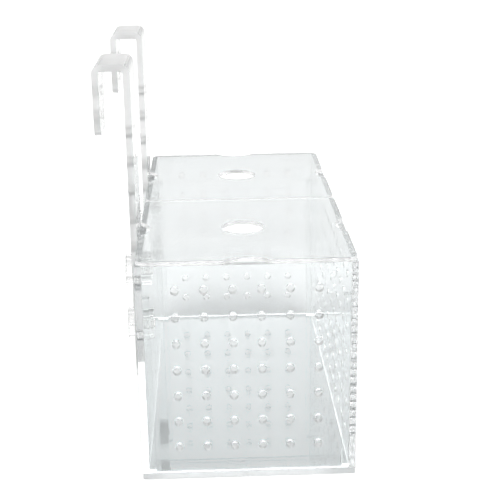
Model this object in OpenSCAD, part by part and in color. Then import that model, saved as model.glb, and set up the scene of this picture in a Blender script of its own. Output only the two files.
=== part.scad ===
// Hang-on fish breeding box of clear acrylic sheet.
// Origin: middle of the underside of the floor. +X points to the perforated front wall, -X to the
// hooks, +Y along the box to its far end, +Z up.

/* [Sheet] */
// Thickness of the floor and of the four walls
sheet = 3; // [2:0.5:4]
// Thickness of the two lids
lid_thick = 2; // [1.5:0.5:5]
// Thickness of the strip that the hooks are bent from
hook_thick = 3; // [2:0.5:4]

/* [Box] */
// Length of the box, outside
box_length = 200; // [180:5:300]
// Width of the box, outside
box_width = 100; // [80:5:160]
// Height of the walls' top edge above the table
wall_top = 106; // [95:1:150]

/* [Water holes] */
// Diameter of a water hole
water_hole = 3.8; // [2.4:0.2:6]
// Distance between neighbouring water holes: exact up the walls, the nearest even share along them
water_pitch = 13; // [9:0.5:18]
// Height of the lowest row of holes above the table
water_first_row = 16; // [12:1:30]
// Least distance from the top row to the walls' top edge
water_top_margin = 10; // [6:1:30]
// Distance from the outer column to the box's side, on the end walls
water_end_margin = 17.5; // [12:0.5:25]
// Distance from the outer column to the box's end, on the front wall
water_front_margin = 20; // [12:1:40]

/* [Corner strips] */
// Width of the square strip in each inside corner
strip_width = 3; // [2:0.5:4]
// Distance from the top of a corner strip to the walls' top edge
strip_drop = 16; // [5:1:40]

/* [Lids] */
// Distance from a lid's edge to the outside of the walls
lid_inset = 0.3; // [0.3:0.1:1.5]
// Gap between the two lids
lid_gap = 0.5; // [0.4:0.1:2]
// Radius of a lid's corners
lid_corner = 5; // [2:0.5:10]
// Diameter of the feeding hole in the middle of a lid
feed_hole = 21; // [12:1:30]
// Width of the shallow finger notches in a lid's edges
notch_width = 22; // [12:1:30]
// Depth of a finger notch
notch_depth = 5; // [2:0.5:6]

/* [Hooks] */
// Width of a hook's strip
hook_width = 34; // [20:1:40]
// Distance from the middle of a hook to the end of the box
hook_from_end = 47; // [30:1:75]
// Gap that takes the aquarium's rim
rim_gap = 11; // [6:0.5:20]
// Height of the hook's seat on the rim above the walls' top edge
seat_rise = 81.5; // [70:0.5:120]
// Length of the hook's short leg below the seat
leg_drop = 29.5; // [20:0.5:60]
// Inner radius of the bends
bend_inner = 1; // [0.5:0.5:4]
// Radius of the corners at the ends of the strip
strip_end_corner = 4; // [1:0.5:8]
// Distance between the holes in the arm
arm_pitch = 13.8; // [11:0.1:20]
// Distance from the arm's end to its first hole
arm_end_margin = 8.5; // [6:0.5:20]
// Distance between the holes in the short leg
leg_pitch = 11; // [8:0.5:20]
// Distance from the leg's end to its first hole
leg_end_margin = 7.5; // [6:0.5:20]
// Least length without holes at the top of the arm
arm_plain_top = 25; // [12:1:40]

/* [Thumb screws] */
// Diameter of a screw's shank
screw_dia = 5; // [4:0.5:6]
// Gap all round between a shank and its holes in the arm and the wall
screw_clear = 0.08; // [0.05:0.01:0.1]
// Distance from the upper screws down from the walls' top edge
upper_screw_drop = 17.5; // [12:0.5:30]
// Length of shank that stands out of the nut
screw_tip = 0.5; // [0.5:0.5:6]
// Length of the cone on the shank's tip
tip_chamfer = 0.5; // [0.2:0.1:1]
// Diameter of a screw's head
head_dia = 15; // [9:0.5:18]
// Thickness of a screw's head
head_thick = 4; // [2:0.5:6]
// Diameter of a thumb nut
nut_dia = 15; // [9:0.5:18]
// Thickness of a thumb nut
nut_thick = 2.5; // [2:0.5:6]
// Gap all round between the shank and the nut's bore
nut_clear = 0.05; // [0.02:0.01:0.1]
// Number of finger grooves round a head or a nut
grip_count = 12; // [6:1:16]
// Diameter of a finger groove
grip_groove = 2; // [1:0.2:2.4]

/* [Hidden] */
$fn = 64;

CLEAR = [0.86, 0.91, 0.93, 0.4];
LID_TINT = [0.82, 0.88, 0.90, 0.4];
HOOK_TINT = [0.78, 0.85, 0.86, 0.5];
SCREW_TINT = [0.93, 0.94, 0.92, 0.6];

// Which end a piece belongs to
NEAR = -1;
FAR = 1;
// Which side a piece belongs to
BACK = -1;
FRONT = 1;

half_length = box_length / 2;
half_width = box_width / 2;
wall_height = wall_top - sheet;

// Hook heights
seat = wall_top + seat_rise;
hook_top = seat + hook_thick;
leg_end = seat - leg_drop;
bend_outer = bend_inner + hook_thick;
bend_base = hook_top - bend_outer;

// Hook depths, from the wall outwards
arm_back = -half_width - hook_thick;
leg_face = arm_back - rim_gap;
leg_back = leg_face - hook_thick;

// Screw heights: the two screws of a hook are two hole pitches apart
upper_screw = wall_top - upper_screw_drop;
lower_screw = upper_screw - 2 * arm_pitch;
arm_end = lower_screw - arm_pitch - arm_end_margin;
screw_hole = screw_dia + 2 * screw_clear;
nut_bore = screw_dia + 2 * nut_clear;
shank_length = hook_thick + sheet + nut_thick + screw_tip;

// Heights of the holes in the arm and in the short leg
arm_spare = floor((seat - arm_plain_top - upper_screw) / arm_pitch);
arm_rows = [for (i = [0 : 3 + arm_spare]) arm_end + arm_end_margin + i * arm_pitch];
leg_gaps = floor((leg_drop - leg_end_margin - screw_hole) / leg_pitch);
leg_rows = [for (i = [0 : max(0, leg_gaps)]) leg_end + leg_end_margin + i * leg_pitch];

// Radius of the arc that cuts a finger notch
notch_radius = (pow(notch_width / 2, 2) + pow(notch_depth, 2)) / (2 * notch_depth);

// Places along one direction, spread evenly between a margin at both ends, about a pitch apart
function spread_row(length, margin) =
    let (
        run = length - 2 * margin,
        gaps = max(1, round(run / water_pitch))
    )
    [for (i = [0 : gaps]) (i / gaps - 1 / 2) * run];

// Heights of the rows of water holes
water_rows = [for (z = [water_first_row : water_pitch : wall_top - water_top_margin]) z];

function hook_y(end) = end * (half_length - hook_from_end);

// Rectangle about the origin with round corners
module rounded_rectangle(width, length, corner) {
    square([width - 2 * corner, length], center = true);
    square([width, length - 2 * corner], center = true);
    for (x = [-1, 1], y = [-1, 1])
        translate([x * (width / 2 - corner), y * (length / 2 - corner)])
            circle(r = corner);
}

// Standing sheet drawn as (width, height), its thickness running from the origin along +Y
module sheet_across(thickness) {
    rotate([90, 0, 0])
        mirror([0, 0, 1])
            linear_extrude(thickness)
                children();
}

// Standing sheet drawn as (length, height), its thickness running from the origin along +X
module sheet_along(thickness) {
    rotate([90, 0, 90])
        linear_extrude(thickness)
            children();
}

module water_grid(columns) {
    for (c = columns, z = water_rows)
        translate([c, z])
            circle(d = water_hole);
}

module floor_panel() {
    color(CLEAR)
        translate([-half_width, -half_length, 0])
            cube([box_width, box_length, sheet]);
}

module front_wall() {
    color(CLEAR)
        translate([half_width - sheet, 0, 0])
            sheet_along(sheet)
                difference() {
                    translate([-half_length, sheet])
                        square([box_length, wall_height]);
                    water_grid(spread_row(box_length, water_front_margin));
                }
}

module back_wall() {
    color(CLEAR)
        translate([-half_width, 0, 0])
            sheet_along(sheet)
                difference() {
                    translate([-half_length, sheet])
                        square([box_length, wall_height]);
                    for (end = [NEAR, FAR], z = [lower_screw, upper_screw])
                        translate([hook_y(end), z])
                            circle(d = screw_hole);
                }
}

module end_wall(end) {
    inside_width = box_width - 2 * sheet;
    color(CLEAR)
        translate([0, end == NEAR ? -half_length : half_length - sheet, 0])
            sheet_across(sheet)
                difference() {
                    translate([-inside_width / 2, sheet])
                        square([inside_width, wall_height]);
                    water_grid(spread_row(box_width, water_end_margin));
                }
}

// Square strip in the inside corner between a long wall and an end wall
module corner_strip(side, end) {
    x = side * (half_width - sheet - strip_width / 2);
    y = end * (half_length - sheet - strip_width / 2);
    color(CLEAR)
        translate([x, y, sheet])
            linear_extrude(wall_height - strip_drop)
                square(strip_width, center = true);
}

module lid(end) {
    width = box_width - 2 * lid_inset;
    length = half_length - lid_inset - lid_gap / 2;
    notch_x = width / 2 + notch_radius - notch_depth;
    notch_y = end * (length / 2 + notch_radius - notch_depth);
    color(LID_TINT)
        translate([0, end * (lid_gap + length) / 2, wall_top])
            linear_extrude(lid_thick)
                difference() {
                    rounded_rectangle(width, length, lid_corner);
                    circle(d = feed_hole);
                    for (notch = [[-notch_x, 0], [notch_x, 0], [0, notch_y]])
                        translate(notch)
                            circle(r = notch_radius);
                }
}

// Outline of a flat stretch of the hook from height low to height high, its lower corners round
module hook_flat(low, high) {
    translate([-hook_width / 2, low + strip_end_corner])
        square([hook_width, high - low - strip_end_corner]);
    translate([-hook_width / 2 + strip_end_corner, low])
        square([hook_width - 2 * strip_end_corner, strip_end_corner]);
    for (side = [-1, 1])
        translate([side * (hook_width / 2 - strip_end_corner), low + strip_end_corner])
            circle(r = strip_end_corner);
}

// Quarter of a ring above the origin, on one side of it: the strip's section where it turns down
module bend_section(side) {
    intersection() {
        difference() {
            circle(r = bend_outer);
            circle(r = bend_inner);
        }
        translate([side < 0 ? -bend_outer : 0, 0])
            square(bend_outer);
    }
}

// The hook's top in section, from the top of the leg round to the top of the arm
module hook_top_section() {
    left = leg_back + bend_outer;
    right = -half_width - bend_outer;
    translate([left, seat])
        square([right - left, hook_thick]);
    translate([left, bend_base])
        bend_section(-1);
    translate([right, bend_base])
        bend_section(1);
}

module hook(end) {
    color(HOOK_TINT)
        translate([0, hook_y(end), 0]) {
            translate([arm_back, 0, 0])
                sheet_along(hook_thick)
                    difference() {
                        hook_flat(arm_end, bend_base);
                        for (z = arm_rows)
                            translate([0, z])
                                circle(d = screw_hole);
                    }
            translate([leg_back, 0, 0])
                sheet_along(hook_thick)
                    difference() {
                        hook_flat(leg_end, bend_base);
                        for (z = leg_rows)
                            translate([0, z])
                                circle(d = screw_hole);
                    }
            translate([0, -hook_width / 2, 0])
                sheet_across(hook_width)
                    hook_top_section();
        }
}

// Round thumb grip about the X axis, with finger grooves, running from the origin along +X
module thumb_grip(diameter, thickness, bore) {
    rotate([90, 0, 90])
        linear_extrude(thickness)
            difference() {
                circle(d = diameter);
                circle(d = bore);
                for (i = [0 : grip_count - 1])
                    rotate(i * 360 / grip_count)
                        translate([diameter / 2 + grip_groove / 4, 0])
                            circle(d = grip_groove);
            }
}

// Screw with its head's inner face on the arm and its shank along +X
module thumb_screw(end, height) {
    color(SCREW_TINT)
        translate([arm_back, hook_y(end), height]) {
            translate([-head_thick, 0, 0])
                thumb_grip(head_dia, head_thick, 0);
            rotate([0, 90, 0]) {
                translate([0, 0, -head_thick / 2])
                    cylinder(d = screw_dia, h = shank_length - tip_chamfer + head_thick / 2);
                translate([0, 0, shank_length - tip_chamfer])
                    cylinder(d1 = screw_dia, d2 = screw_dia - 2 * tip_chamfer, h = tip_chamfer);
            }
        }
}

// Nut on the inner face of the back wall
module thumb_nut(end, height) {
    color(SCREW_TINT)
        translate([-half_width + sheet, hook_y(end), height])
            thumb_grip(nut_dia, nut_thick, nut_bore);
}

floor_panel();
front_wall();
back_wall();
end_wall(NEAR);  // near_end_wall
end_wall(FAR);  // far_end_wall
corner_strip(FRONT, NEAR);  // near_front_strip
corner_strip(BACK, NEAR);  // near_back_strip
corner_strip(FRONT, FAR);  // far_front_strip
corner_strip(BACK, FAR);  // far_back_strip
lid(NEAR);  // near_lid
lid(FAR);  // far_lid
hook(NEAR);  // near_hook
hook(FAR);  // far_hook
thumb_screw(NEAR, upper_screw);  // near_upper_screw
thumb_screw(NEAR, lower_screw);  // near_lower_screw
thumb_screw(FAR, upper_screw);  // far_upper_screw
thumb_screw(FAR, lower_screw);  // far_lower_screw
thumb_nut(NEAR, upper_screw);  // near_upper_nut
thumb_nut(NEAR, lower_screw);  // near_lower_nut
thumb_nut(FAR, upper_screw);  // far_upper_nut
thumb_nut(FAR, lower_screw);  // far_lower_nut
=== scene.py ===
# %% [markdown]
# # A hang-on breeding box of clear acrylic
# The box hangs inside an aquarium and keeps a fish and her fry apart from the others. Every solid comes
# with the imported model: five glued sheets, four corner strips, two loose lids, two bent hooks, and
# thumb screws with their nuts. This lesson gives them their finish, then a floor, light and a camera.
# Clear acrylic has almost no colour of its own, so most of its look comes from how light bends in it,
# and the lesson spends its effort on edges, surface wear and light.

# %% Load the solids
import math

import bpy
from mathutils import Matrix, Vector


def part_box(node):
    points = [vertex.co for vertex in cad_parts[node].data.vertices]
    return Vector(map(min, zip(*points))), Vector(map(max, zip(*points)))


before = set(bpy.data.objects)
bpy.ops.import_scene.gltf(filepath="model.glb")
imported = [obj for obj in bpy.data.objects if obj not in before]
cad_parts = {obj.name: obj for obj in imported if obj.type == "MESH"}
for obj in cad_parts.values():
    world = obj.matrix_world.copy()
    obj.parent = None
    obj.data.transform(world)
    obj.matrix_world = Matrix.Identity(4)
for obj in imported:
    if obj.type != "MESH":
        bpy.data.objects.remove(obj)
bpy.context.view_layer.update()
scene = bpy.context.scene

# %% [markdown]
# ## Camera
# The photograph looks at a short end of the box from almost half a metre away and a little above its
# lid. The place, the turn and the focal length below were fitted to the box's corners and its water
# holes in the picture. A guess by eye would leave the near and the far holes out of step.

# %% Camera
FOCAL_LENGTH_PX = 1109.6
PICTURE_WIDTH_PX = 500
CAMERA_PLACE = (-0.01536, -0.56342, 0.26801)
TURN_SIDEWAYS = -0.03641
TILT_DOWN = -0.32311
ROLL = 0.01229

camera_data = bpy.data.cameras.new("Camera")
camera_data.sensor_width = 36.0
camera_data.lens = FOCAL_LENGTH_PX / PICTURE_WIDTH_PX * camera_data.sensor_width
camera_data.clip_start = 0.01
camera = bpy.data.objects.new("Camera", camera_data)
scene.collection.objects.link(camera)
sideways = Matrix.Rotation(TURN_SIDEWAYS, 4, "Z")
tilt = Matrix.Rotation(TILT_DOWN, 4, "X")
roll = Matrix.Rotation(ROLL, 4, "Y")
to_level = Matrix.Rotation(math.pi / 2, 4, "X")
camera.matrix_world = Matrix.Translation(CAMERA_PLACE) @ sideways @ tilt @ roll @ to_level
scene.camera = camera
print("lens:", round(camera_data.lens, 1), "mm")

# %% [markdown]
# ## Nodes in few words
# Each finish is a small network of shader nodes. Short helpers keep the cells readable: one places a
# node and wires it, and the others do the same for a sum, a vector, a noise, a blend or a soft ramp.
# The last two start a node group with named sockets and use it, so that an effect is built once and
# every finish sets its own amounts. in_cells counts a place in cells of a given size in metres, so that
# the grain of a noise can be said as a real length.

# %% Helpers for nodes
def place(tree, kind, wires=(), **settings):
    node = tree.nodes.new(kind)
    for key, value in settings.items():
        setattr(node, key, value)
    for key, value in dict(wires).items():
        if isinstance(value, bpy.types.NodeSocket):
            tree.links.new(value, node.inputs[key])
        else:
            node.inputs[key].default_value = value
    return node

def figure(tree, operation, *values):
    return place(tree, "ShaderNodeMath", enumerate(values), operation=operation).outputs[0]

def arrow(tree, operation, first, second=None, scale=None):
    wires = {0: first}
    if second is not None:
        wires[1] = second
    if scale is not None:
        wires["Scale"] = scale
    return place(tree, "ShaderNodeVectorMath", wires, operation=operation).outputs

def in_cells(tree, coordinates, size):
    closeness = figure(tree, "DIVIDE", 1.0, size)
    return arrow(tree, "SCALE", coordinates, scale=closeness)[0]

def noise(tree, spot, scale=1.0, **settings):
    wires = {"Vector": spot, "Scale": scale, **settings}
    return place(tree, "ShaderNodeTexNoise", wires).outputs[0]

def turned(tree, spot, rotation, stretch):
    wires = {"Vector": spot, "Rotation": rotation, "Scale": stretch}
    return place(tree, "ShaderNodeMapping", wires).outputs[0]

def blend(tree, share, first, second):
    wires = {0: share, 6: first, 7: second}
    return place(tree, "ShaderNodeMix", wires, data_type="RGBA").outputs[2]

def grey(tree, value):
    return place(tree, "ShaderNodeCombineColor", {0: value, 1: value, 2: value}).outputs[0]

def ramp(tree, value, start, end, low=0.0, high=1.0):
    wires = {"Value": value, "From Min": start, "From Max": end, "To Min": low, "To Max": high}
    return place(tree, "ShaderNodeMapRange", wires, interpolation_type="SMOOTHSTEP").outputs[0]

def new_group(name, inputs, outputs):
    group = bpy.data.node_groups.new(name, "ShaderNodeTree")
    for label, kind, value in inputs:
        socket_type = "NodeSocket" + kind
        socket = group.interface.new_socket(label, in_out="INPUT", socket_type=socket_type)
        if value is not None:
            socket.default_value = value
    for label, kind in outputs:
        group.interface.new_socket(label, in_out="OUTPUT", socket_type="NodeSocket" + kind)
    start = group.nodes.new("NodeGroupInput")
    end = group.nodes.new("NodeGroupOutput")
    print("group:", name, "in:", [i[0] for i in inputs], "out:", [o[0] for o in outputs])
    return group, start.outputs, end.inputs

def grouped(tree, group, **wires):
    named = {key.replace("_", " "): value for key, value in wires.items()}
    node = tree.nodes.new("ShaderNodeGroup")
    node.node_tree = group
    for key, value in named.items():
        if isinstance(value, bpy.types.NodeSocket):
            tree.links.new(value, node.inputs[key])
        else:
            node.inputs[key].default_value = value
    return node.outputs

# %% [markdown]
# ## Laser-cut edges
# The sheets are cut by laser. The beam leaves fine lines that run straight through the sheet's
# thickness, on the outside edges and in every hole. The group finds those faces by their normal, which
# lies across the sheet's thickness there, and draws noise that is stretched along the thickness. This
# holds for every edge at once, where a painted mask would need one map for each solid.

# %% Cut edge group
EDGE_LEAN = 0.35
FACE_LEAN = 0.75

cut_edge, given, made = new_group(
    "Cut edge",
    [("Coordinates", "Vector", None),
     ("Face Normal", "Vector", None),
     ("Thickness Axis", "Vector", (0, 0, 1)),
     ("Line Spacing", "Float", 0.0006)],
    [("Edge", "Float"), ("Lines", "Float")])
tree = cut_edge
axis = given["Thickness Axis"]
lean = figure(tree, "ABSOLUTE", arrow(tree, "DOT_PRODUCT", given["Face Normal"], axis)["Value"])
tree.links.new(ramp(tree, lean, EDGE_LEAN, FACE_LEAN, 1.0, 0.0), made["Edge"])
along = arrow(tree, "DOT_PRODUCT", given["Coordinates"], axis)["Value"]
across = arrow(tree, "SCALE", axis, scale=along)[0]
flat = arrow(tree, "SUBTRACT", given["Coordinates"], across)[0]
fine = in_cells(tree, flat, given["Line Spacing"])
tree.links.new(noise(tree, fine, Detail=2.0, Roughness=0.6), made["Lines"])

# %% [markdown]
# ## Wiped and handled faces
# A polished sheet is never quite even: a cloth leaves faint streaks and fingers leave greasy patches.
# Both only change how sharply light passes, so the group makes a roughness from broad noise times
# stretched noise. Most of the face stays at the low value, near a perfect polish.

# %% Wipe haze group
wipe_haze, given, made = new_group(
    "Wipe haze",
    [("Coordinates", "Vector", None),
     ("Patch Size", "Float", 0.03),
     ("Clean", "Float", 0.0),
     ("Smeared", "Float", 0.06)],
    [("Roughness", "Float"), ("Patches", "Float")])
tree = wipe_haze
scaled = in_cells(tree, given["Coordinates"], given["Patch Size"])
broad = noise(tree, scaled, Detail=3.0)
streaky = turned(tree, scaled, (0.5, 0.4, 0.6), (1.2, 9.0, 1.8))
streaks = noise(tree, streaky, Detail=4.0, Roughness=0.6)
both = figure(tree, "MULTIPLY", ramp(tree, broad, 0.42, 0.66), ramp(tree, streaks, 0.35, 0.7))
tree.links.new(both, made["Patches"])
spread = figure(tree, "SUBTRACT", given["Smeared"], given["Clean"])
tree.links.new(figure(tree, "MULTIPLY_ADD", both, spread, given["Clean"]), made["Roughness"])

# %% [markdown]
# ## Fine scratches
# Acrylic is soft, and handling leaves hair-thin scratches in all directions. Three noises, each
# stretched a different way and cut off near its top, give short thin lines. They go into the height of
# a bump, so they show only where light catches them.

# %% Fine scratches group
SCRATCH_WAYS = (
    ((0.3, 0.2, 0.5), (0.25, 9, 3)),
    ((1.1, 0.7, 2.1), (9, 0.3, 3)),
    ((0.6, 1.9, 1.2), (3, 9, 0.25)))

scratches, given, made = new_group(
    "Fine scratches",
    [("Coordinates", "Vector", None), ("Spacing", "Float", 0.004)],
    [("Height", "Float")])
tree = scratches
scaled = in_cells(tree, given["Coordinates"], given["Spacing"])
total = 0.0
for rotation, stretch in SCRATCH_WAYS:
    hair = noise(tree, turned(tree, scaled, rotation, stretch), Detail=1.0)
    total = figure(tree, "ADD", total, ramp(tree, hair, 0.68, 0.74))
tree.links.new(figure(tree, "MINIMUM", total, 1.0), made["Height"])

# %% [markdown]
# ## Dust
# Dust lies where it can, on faces that look up. Each cell of a Voronoi pattern may hold one speck, whose
# size comes from the cell's own random colour, so most cells stay empty.

# %% Dust group
LARGEST_SPECK = 0.11

dust, given, made = new_group(
    "Dust specks",
    [("Coordinates", "Vector", None),
     ("Face Normal", "Vector", None),
     ("Cell Size", "Float", 0.003)],
    [("Specks", "Float")])
tree = dust
scaled = in_cells(tree, given["Coordinates"], given["Cell Size"])
cells = place(tree, "ShaderNodeTexVoronoi", {"Vector": scaled, "Scale": 1.0})
chance = place(tree, "ShaderNodeSeparateColor", {0: cells.outputs["Color"]}).outputs[0]
radius = figure(tree, "MULTIPLY", figure(tree, "POWER", chance, 5.0), LARGEST_SPECK)
up = place(tree, "ShaderNodeSeparateXYZ", {0: given["Face Normal"]}).outputs[2]
speck = figure(tree, "LESS_THAN", cells.outputs["Distance"], radius)
tree.links.new(figure(tree, "MULTIPLY", speck, ramp(tree, up, 0.3, 0.8)), made["Specks"])

# %% [markdown]
# ## Cast tint
# Cast acrylic is a little blue-green through a face and a little warmer at a lasered edge, where the
# surface was hot. Broad noise drifts between two near-white tints, and the edge mask brings in a third.

# %% Cast tint group
WHITE = (1, 1, 1, 1)

cast_tint, given, made = new_group(
    "Cast tint",
    [("Coordinates", "Vector", None),
     ("Edge", "Float", 0.0),
     ("Tint", "Color", WHITE),
     ("Drifted Tint", "Color", WHITE),
     ("Edge Tint", "Color", WHITE),
     ("Drift Size", "Float", 0.05)],
    [("Color", "Color")])
tree = cast_tint
drift = noise(tree, in_cells(tree, given["Coordinates"], given["Drift Size"]), Detail=2.0)
face = blend(tree, ramp(tree, drift, 0.3, 0.7), given["Tint"], given["Drifted Tint"])
tree.links.new(blend(tree, given["Edge"], face, given["Edge Tint"]), made["Color"])

# %% [markdown]
# ## The sheet finish
# One recipe serves every sheet. Colour comes from the cast tint, roughness from the haze plus the dust,
# and the bump from scratches on the faces and laser lines on the edges. The numbers that never change
# over the surface, such as the index of refraction, 1.49 for acrylic, are set on the shader itself.
# A sheet looks clear through its face and grey at its edge, because light there has come up to 200 mm
# through the plastic. A volume absorption gives that by itself: depth says how much is lost a metre. A
# darker surface colour would grey the clear faces as well. Laser-cut faces are also a little rough, and
# cut says how much: it turns the hard glints in the small holes into soft rings.

# %% Sheet finish
ACRYLIC_IOR = 1.49
ABSORBED = (0.50, 0.53, 0.54, 1)
ALONG_X = (1, 0, 0)
ALONG_Y = (0, 1, 0)
ALONG_Z = (0, 0, 1)

def clear_acrylic(name, axis, tints, depth, cut=0.3, clean=0.0, smeared=0.05, line_depth=0.000003):
    material = bpy.data.materials.new(name)
    material.use_nodes = True
    tree = material.node_tree
    shader = tree.nodes["Principled BSDF"]
    shader.inputs["IOR"].default_value = ACRYLIC_IOR
    shader.inputs["Transmission Weight"].default_value = 1.0
    coordinates = place(tree, "ShaderNodeTexCoord").outputs
    spot = coordinates["Object"]
    facing = coordinates["Normal"]
    edge = grouped(tree, cut_edge, Coordinates=spot, Face_Normal=facing, Thickness_Axis=axis)
    haze = grouped(tree, wipe_haze, Coordinates=spot, Clean=clean, Smeared=smeared)
    specks = grouped(tree, dust, Coordinates=spot, Face_Normal=facing)["Specks"]
    hairs = grouped(tree, scratches, Coordinates=spot)["Height"]
    tint, drifted, edge_tint = [(*colour, 1) for colour in tints]
    colour = grouped(tree, cast_tint, Coordinates=spot, Edge=edge["Edge"], Tint=tint,
                     Drifted_Tint=drifted, Edge_Tint=edge_tint)["Color"]
    tree.links.new(colour, shader.inputs["Base Color"])
    rough = figure(tree, "MULTIPLY_ADD", edge["Edge"], cut, haze["Roughness"])
    tree.links.new(figure(tree, "MULTIPLY_ADD", specks, 0.5, rough), shader.inputs["Roughness"])
    lines = figure(tree, "MULTIPLY", edge["Edge"], edge["Lines"])
    height = figure(tree, "MULTIPLY_ADD", hairs, -0.25, lines)
    bump = place(tree, "ShaderNodeBump", {"Height": height, "Strength": 1.0, "Distance": line_depth})
    tree.links.new(bump.outputs[0], shader.inputs["Normal"])
    body = place(tree, "ShaderNodeVolumeAbsorption", {"Color": ABSORBED, "Density": depth})
    tree.links.new(body.outputs[0], tree.nodes["Material Output"].inputs["Volume"])
    print("finish:", name, len(tree.nodes), "nodes")
    return material

sheet_tints = ((0.965, 0.985, 0.988), (0.972, 0.988, 0.990), (0.965, 0.970, 0.970))
hook_tints = ((0.93, 0.935, 0.93), (0.95, 0.955, 0.95), (0.92, 0.92, 0.915))
floor_sheet = clear_acrylic("Sheet acrylic, floor", ALONG_Z, sheet_tints, depth=3.5)
lid_sheet = clear_acrylic("Sheet acrylic, lid", ALONG_Z, sheet_tints, depth=0.6,
                          cut=0.12, clean=0.05, smeared=0.12)
front_sheet = clear_acrylic("Sheet acrylic, front wall", ALONG_X, sheet_tints, depth=1.2,
                            cut=0.08, line_depth=0.000001)
back_sheet = clear_acrylic("Sheet acrylic, back wall", ALONG_X, sheet_tints, depth=3.5, cut=0.1)
end_sheet = clear_acrylic("Sheet acrylic, end wall", ALONG_Y, sheet_tints, depth=2.0)
strip_sheet = clear_acrylic("Sheet acrylic, strip", ALONG_X, sheet_tints, depth=1.0, cut=0.05)
hook_strip = clear_acrylic("Hook acrylic, heat-bent", ALONG_X, hook_tints, depth=6.0, smeared=0.1)

# %% [markdown]
# ## Moulded thumb screws
# The screws and nuts are moulded, not cut. The plastic is clear, its skin has a fine grain from the
# mould, and faint milky flow marks swirl in it. The screw's shank also carries the thread, a spiral groove of
# 0.8 mm pitch: its height follows the angle round the shank plus the way along it. As it is a bump, the
# shank stays a plain cylinder, and the thread shows only by its shine.

# %% Moulded skin group
moulded_skin, given, made = new_group(
    "Moulded skin",
    [("Coordinates", "Vector", None),
     ("Grain Size", "Float", 0.0004),
     ("Flow Size", "Float", 0.006)],
    [("Grain", "Float"), ("Flow", "Float")])
tree = moulded_skin
grain_spot = in_cells(tree, given["Coordinates"], given["Grain Size"])
tree.links.new(noise(tree, grain_spot, Detail=2.0, Distortion=0.0), made["Grain"])
flow_spot = in_cells(tree, given["Coordinates"], given["Flow Size"])
tree.links.new(noise(tree, flow_spot, Detail=3.0, Distortion=1.5), made["Flow"])

# %% Screw thread group
screw_thread, given, made = new_group(
    "Screw thread",
    [("Coordinates", "Vector", None),
     ("Centre", "Vector", (0, 0, 0)),
     ("Pitch", "Float", 0.0008),
     ("Shank Radius", "Float", 0.0026)],
    [("Height", "Float")])
tree = screw_thread
spoke = arrow(tree, "SUBTRACT", given["Coordinates"], given["Centre"])[0]
x, y, z = place(tree, "ShaderNodeSeparateXYZ", {0: spoke}).outputs
way = figure(tree, "DIVIDE", x, given["Pitch"])
angle = figure(tree, "DIVIDE", figure(tree, "ARCTAN2", z, y), 2 * math.pi)
wave = figure(tree, "PINGPONG", figure(tree, "ADD", way, angle), 0.5)
squares = figure(tree, "ADD", figure(tree, "MULTIPLY", y, y), figure(tree, "MULTIPLY", z, z))
on_shank = figure(tree, "LESS_THAN", figure(tree, "SQRT", squares), given["Shank Radius"])
full_wave = figure(tree, "MULTIPLY", wave, 2.0)
tree.links.new(figure(tree, "MULTIPLY", full_wave, on_shank), made["Height"])

# %% Fastener finish
MOULDED_IOR = 1.5
CLEAR_TINT = (0.955, 0.955, 0.95, 1)
COOL_TINT = (0.93, 0.94, 0.94, 1)
FLOW_TINT = (0.97, 0.965, 0.955, 1)
GRAIN_HEIGHT = 0.04
THREAD_HEIGHT = 2.0

def moulded_plastic(name, centre=None):
    material = bpy.data.materials.new(name)
    material.use_nodes = True
    tree = material.node_tree
    shader = tree.nodes["Principled BSDF"]
    shader.inputs["IOR"].default_value = MOULDED_IOR
    shader.inputs["Transmission Weight"].default_value = 1.0
    spot = place(tree, "ShaderNodeTexCoord").outputs["Object"]
    skin = grouped(tree, moulded_skin, Coordinates=spot)
    haze = grouped(tree, wipe_haze, Coordinates=spot, Patch_Size=0.01, Clean=0.02, Smeared=0.08)
    flow = ramp(tree, skin["Flow"], 0.45, 0.75)
    colour = grouped(tree, cast_tint, Coordinates=spot, Edge=flow, Tint=CLEAR_TINT,
                     Drifted_Tint=COOL_TINT, Edge_Tint=FLOW_TINT, Drift_Size=0.01)["Color"]
    tree.links.new(colour, shader.inputs["Base Color"])
    tree.links.new(haze["Roughness"], shader.inputs["Roughness"])
    height = figure(tree, "MULTIPLY", skin["Grain"], GRAIN_HEIGHT)
    if centre:
        thread = grouped(tree, screw_thread, Coordinates=spot, Centre=centre)["Height"]
        height = figure(tree, "MULTIPLY_ADD", thread, THREAD_HEIGHT, height)
    bump = place(tree, "ShaderNodeBump", {"Height": height, "Strength": 1.0, "Distance": 0.0002})
    tree.links.new(bump.outputs[0], shader.inputs["Normal"])
    print("finish:", name, len(tree.nodes), "nodes")
    return material

nut_plastic = moulded_plastic("Moulded plastic, nut")

# %% [markdown]
# ## Finishes on the solids
# Each solid takes the finish of its kind. Where two sheets touch, their faces would lie in the same
# plane, and a ray can't tell which it meets first: dark bands follow. A Displace modifier without a
# texture draws every face in by two hundredths of a millimetre, so a film of air lies between. The
# meshes themselves stay as packed.

# %% Dress the solids
AIR_FILM = 0.00002
sheets = {"floor_panel": floor_sheet, "near_lid": lid_sheet, "far_lid": lid_sheet,
          "front_wall": front_sheet, "back_wall": back_sheet,
          "near_end_wall": end_sheet, "far_end_wall": end_sheet,
          "near_hook": hook_strip, "far_hook": hook_strip}

for name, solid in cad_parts.items():
    if name.endswith("_screw"):
        low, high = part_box(name)
        centre = [(a + b) / 2 for a, b in zip(low, high)]
        finish = moulded_plastic("Moulded plastic, " + name.replace("_", " "), centre)
    elif name.endswith("_nut"):
        finish = nut_plastic
    else:
        finish = sheets.get(name, strip_sheet)
    solid.data.materials.clear()
    solid.data.materials.append(finish)
    film = solid.modifiers.new("Air film", "DISPLACE")
    film.mid_level = 0.0
    film.strength = -AIR_FILM
    film.direction = "NORMAL"
    print(name, "-", finish.name)

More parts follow.
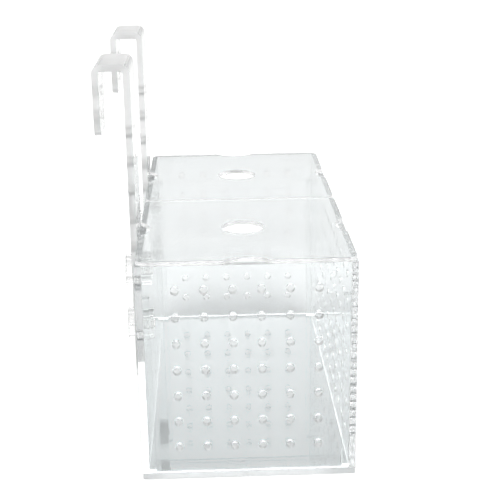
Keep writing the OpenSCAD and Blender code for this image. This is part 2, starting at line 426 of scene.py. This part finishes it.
# %% [markdown]
# ## Floor
# The photograph stands on white paper without a horizon. A wide sheet of matt paper lies just under the
# floor panel, a third of a millimetre lower, so that the two never share a plane. Its colour carries a
# painted pool of lamp light: lighter round the box and a little darker far away. Its fibres make a faint
# grain.
# The photograph's ground was retouched to pure white, while the paper seen through the plastic was not.
# The Light Path node tells the two apart: paper that the camera sees directly glows a little more.

# %% Paper floor
FLOOR_SIZE = 12.0
FLOOR_HEIGHT = -0.0003
GLOW = 0.045
EXTRA_GLOW_SEEN = 0.22

def paper_floor(size, height):
    mesh = bpy.data.meshes.new("studio_floor")
    half = size / 2
    corners = [(x, y, height) for x, y in ((-half, -half), (half, -half), (half, half), (-half, half))]
    mesh.from_pydata(corners, [], [(0, 1, 2, 3)])
    floor = bpy.data.objects.new("studio_floor", mesh)
    scene.collection.objects.link(floor)
    return floor

floor = paper_floor(FLOOR_SIZE, FLOOR_HEIGHT)
paper = bpy.data.materials.new("Matt paper")
paper.use_nodes = True
tree = paper.node_tree
shader = tree.nodes["Principled BSDF"]
shader.inputs["Roughness"].default_value = 0.9
shader.inputs["Emission Strength"].default_value = 1.0
spot = place(tree, "ShaderNodeTexCoord").outputs["Object"]
distance = arrow(tree, "LENGTH", spot)["Value"]
fibres = figure(tree, "MULTIPLY", noise(tree, spot, scale=900.0, Detail=2.0), 0.01)
# Painted pool of light: the paper's colour is lighter near the box and darker far away, less the fibres'
# faint grain.
painted_pool_and_fibres = figure(tree, "SUBTRACT", ramp(tree, distance, 0.3, 1.2, 0.91, 0.83), fibres)
seen = place(tree, "ShaderNodeLightPath").outputs["Is Camera Ray"]
glow = figure(tree, "MULTIPLY_ADD", seen, EXTRA_GLOW_SEEN, GLOW)
tree.links.new(grey(tree, glow), shader.inputs["Emission Color"])
tree.links.new(grey(tree, painted_pool_and_fibres), shader.inputs["Base Color"])
floor.data.materials.append(paper)
print("floor:", floor.dimensions[:])

# %% [markdown]
# ## Light
# A photographer lights clear plastic with what it mirrors, not with what shines on it. Round the box
# stands a tent: light grey low down, then a broad bright ring from about 20 to 36 degrees of height, and
# dark grey overhead. The ring is what the lids and walls mirror. The world's own colour makes the tent,
# as a ramp over the height of a direction. One soft lamp from above the camera lights the paper.

# %% Light tent
TENT_STRENGTH = 2.5
TENT_LEVELS = (
    (0.0, 0.267), (0.17, 0.265), (0.27, 0.255),
    (0.28, 0.205), (0.339, 0.20),
    (0.345, 1.0), (0.585, 1.0),
    (0.591, 0.084), (1.0, 0.084))

world = bpy.data.worlds.new("Light tent")
scene.world = world
world.use_nodes = True
tree = world.node_tree
background = tree.nodes["Background"]
background.inputs["Strength"].default_value = TENT_STRENGTH
direction = place(tree, "ShaderNodeTexCoord").outputs["Generated"]
height = place(tree, "ShaderNodeSeparateXYZ", {0: direction}).outputs[2]
tent = place(tree, "ShaderNodeValToRGB", {0: height})
stops = tent.color_ramp.elements
stops.remove(stops[1])
stops[0].position = TENT_LEVELS[0][0]
stops[0].color = (*[TENT_LEVELS[0][1]] * 3, 1)
for position, level in TENT_LEVELS[1:]:
    stops.new(position).color = (level, level, level, 1)
tree.links.new(tent.outputs[0], background.inputs["Color"])
print("tent:", [(round(s.position, 3), round(s.color[0], 3)) for s in stops])

# %% Soft lamp
LAMP_DIRECTION = Vector((0, -1.3, 2.0))

lamp_data = bpy.data.lights.new("Soft lamp", "SUN")
lamp_data.energy = 1.69
lamp_data.angle = 0.8
lamp = bpy.data.objects.new("Soft lamp", lamp_data)
scene.collection.objects.link(lamp)
lamp.matrix_world = LAMP_DIRECTION.to_track_quat("Z", "Y").to_matrix().to_4x4()

# %% [markdown]
# ## Depth of light paths
# Light that is caught in a sheet bounces off its inside many times before it leaves at an edge. With
# few bounces allowed, those edges turn black, so all the limits go up.

# %% Light paths
MANY_BOUNCES = 64

scene.view_settings.view_transform = "Standard"
scene.cycles.max_bounces = MANY_BOUNCES
scene.cycles.glossy_bounces = MANY_BOUNCES
scene.cycles.transmission_bounces = MANY_BOUNCES
scene.cycles.transparent_max_bounces = 24
